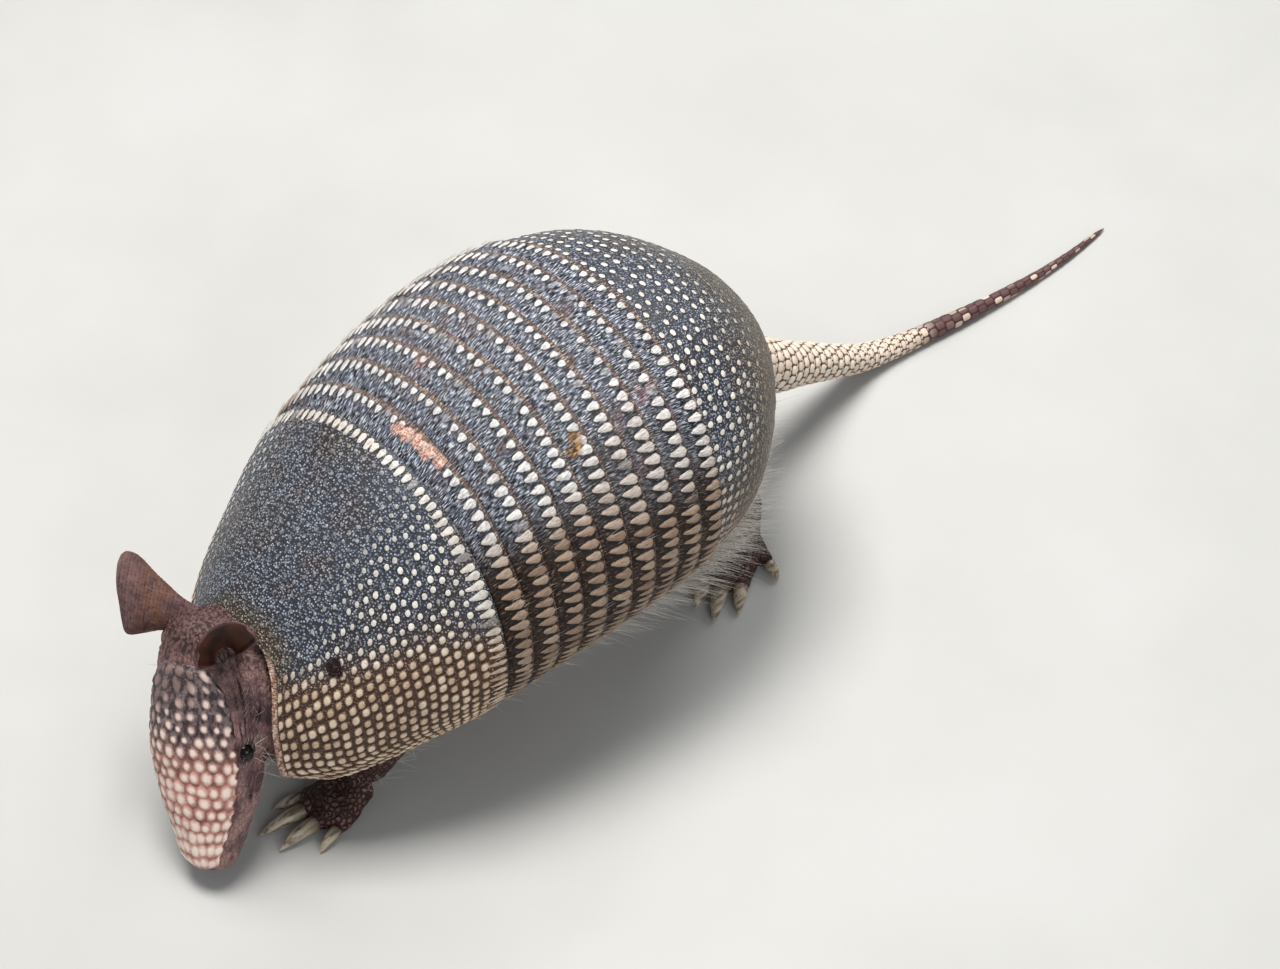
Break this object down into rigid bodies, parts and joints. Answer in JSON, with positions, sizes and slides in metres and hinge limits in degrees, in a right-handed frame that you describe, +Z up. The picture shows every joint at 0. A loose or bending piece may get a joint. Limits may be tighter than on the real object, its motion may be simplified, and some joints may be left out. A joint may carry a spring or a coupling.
{
  "type": "animal figure",
  "caption": "Life-size still model of a nine-banded armadillo walking, its head turned to its left and its nose to the ground.",
  "frame": {"origin": "middle of the model's box, on the floor that its feet and tail rest on", "axes": "+X to the animal's left, -Y the way it walks, +Z up"},
  "size_m": [0.195, 0.6154, 0.1927],
  "materials": {
    "shell": "dark slate bony plates with pale round and teardrop scutes, satin",
    "head_shield": "irregular cream scales on a pink ground, satin",
    "skin": "mauve-brown leathery skin, matt, lightly wrinkled",
    "ear": "thin pebbled brown-purple leather",
    "eye": "black, wet gloss",
    "claw": "pale horn, darker at the root, satin",
    "tail_rings": "cream and pink rings of small bony plates, satin",
    "tail_tip": "brown scales with pale dots, satin",
    "hair": "sparse fine pale hairs"
  },
  "bodies": {
    "root": {"scapular_shield": "shell", "band_1": "shell", "band_2": "shell", "band_3": "shell", "band_4": "shell", "band_5": "shell", "band_6": "shell", "band_7": "shell", "band_8": "shell", "band_9": "shell", "pelvic_shield": "shell", "head_shield": "head_shield", "head": "skin", "neck": "skin", "trunk": "skin", "eye_left": "eye", "eye_right": "eye", "ear_left": "ear", "ear_right": "ear", "leg_front_left": "skin", "foot_front_left": "skin", "claw_front_left_1": "claw", "claw_front_left_2": "claw", "claw_front_left_3": "claw", "claw_front_left_4": "claw", "leg_front_right": "skin", "foot_front_right": "skin", "claw_front_right_1": "claw", "claw_front_right_2": "claw", "claw_front_right_3": "claw", "claw_front_right_4": "claw", "leg_hind_left": "skin", "foot_hind_left": "skin", "claw_hind_left_1": "claw", "claw_hind_left_2": "claw", "claw_hind_left_3": "claw", "claw_hind_left_4": "claw", "claw_hind_left_5": "claw", "leg_hind_right": "skin", "foot_hind_right": "skin", "claw_hind_right_1": "claw", "claw_hind_right_2": "claw", "claw_hind_right_3": "claw", "claw_hind_right_4": "claw", "claw_hind_right_5": "claw", "tail_1": "tail_rings", "tail_2": "tail_rings", "tail_3": "tail_rings", "tail_4": "tail_tip", "tail_5": "tail_tip"}
  },
  "joints": []
}
